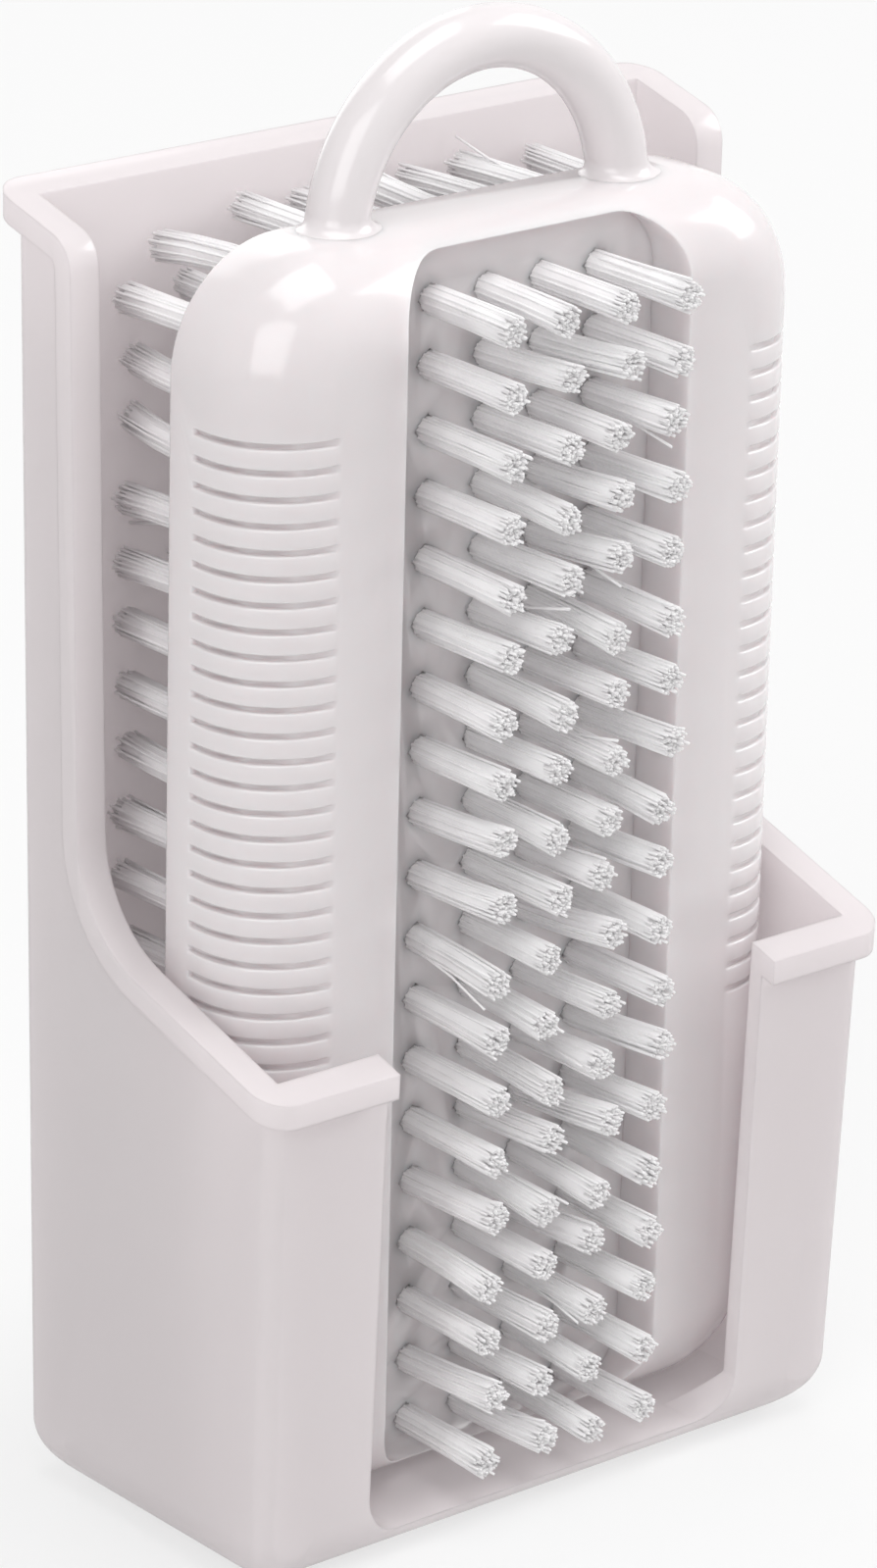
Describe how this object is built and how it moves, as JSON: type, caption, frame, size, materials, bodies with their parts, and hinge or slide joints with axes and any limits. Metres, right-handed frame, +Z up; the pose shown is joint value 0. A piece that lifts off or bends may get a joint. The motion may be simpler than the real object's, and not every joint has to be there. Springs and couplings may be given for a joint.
{
  "type": "nail brush",
  "caption": "Two-sided nail brush with a finger loop and ribbed grips, standing upright in an open-fronted holder that it lifts out of",
  "frame": {"origin": "on the table under the middle of the part as it stands in its holder", "axes": "+Z up along the brush, which lifts out along it; -Y is the side of the open slot and the narrow bristle field; +X to the right seen from there"},
  "size_m": [0.0788, 0.0418, 0.1457],
  "materials": {
    "holder_plastic": "smooth gloss, slightly translucent white",
    "brush_plastic": "smooth gloss, slightly translucent white",
    "bristle_nylon": "translucent white nylon filament"
  },
  "bodies": {
    "holder": {"holder": "holder_plastic"},
    "brush": {"brush_body": "brush_plastic", "finger_loop": "brush_plastic", "front_tuft_row_01": "bristle_nylon", "front_tuft_row_02": "bristle_nylon", "front_tuft_row_03": "bristle_nylon", "front_tuft_row_04": "bristle_nylon", "front_tuft_row_05": "bristle_nylon", "front_tuft_row_06": "bristle_nylon", "front_tuft_row_07": "bristle_nylon", "front_tuft_row_08": "bristle_nylon", "front_tuft_row_09": "bristle_nylon", "front_tuft_row_10": "bristle_nylon", "front_tuft_row_11": "bristle_nylon", "front_tuft_row_12": "bristle_nylon", "front_tuft_row_13": "bristle_nylon", "front_tuft_row_14": "bristle_nylon", "front_tuft_row_15": "bristle_nylon", "front_tuft_row_16": "bristle_nylon", "front_tuft_row_17": "bristle_nylon", "front_tuft_row_18": "bristle_nylon", "front_tuft_row_19": "bristle_nylon", "back_tuft_row_01": "bristle_nylon", "back_tuft_row_02": "bristle_nylon", "back_tuft_row_03": "bristle_nylon", "back_tuft_row_04": "bristle_nylon", "back_tuft_row_05": "bristle_nylon", "back_tuft_row_06": "bristle_nylon", "back_tuft_row_07": "bristle_nylon", "back_tuft_row_08": "bristle_nylon", "back_tuft_row_09": "bristle_nylon", "back_tuft_row_10": "bristle_nylon", "back_tuft_row_11": "bristle_nylon", "back_tuft_row_12": "bristle_nylon", "back_tuft_row_13": "bristle_nylon", "back_tuft_row_14": "bristle_nylon", "back_tuft_row_15": "bristle_nylon", "back_tuft_row_16": "bristle_nylon", "back_tuft_row_17": "bristle_nylon", "back_tuft_row_18": "bristle_nylon", "back_tuft_row_19": "bristle_nylon"}
  },
  "joints": [
    {"name": "brush_lift", "type": "slide", "parent": "holder", "child": "brush", "axis": [0, 0, 1], "range_m": [0, 0.13]}
  ]
}
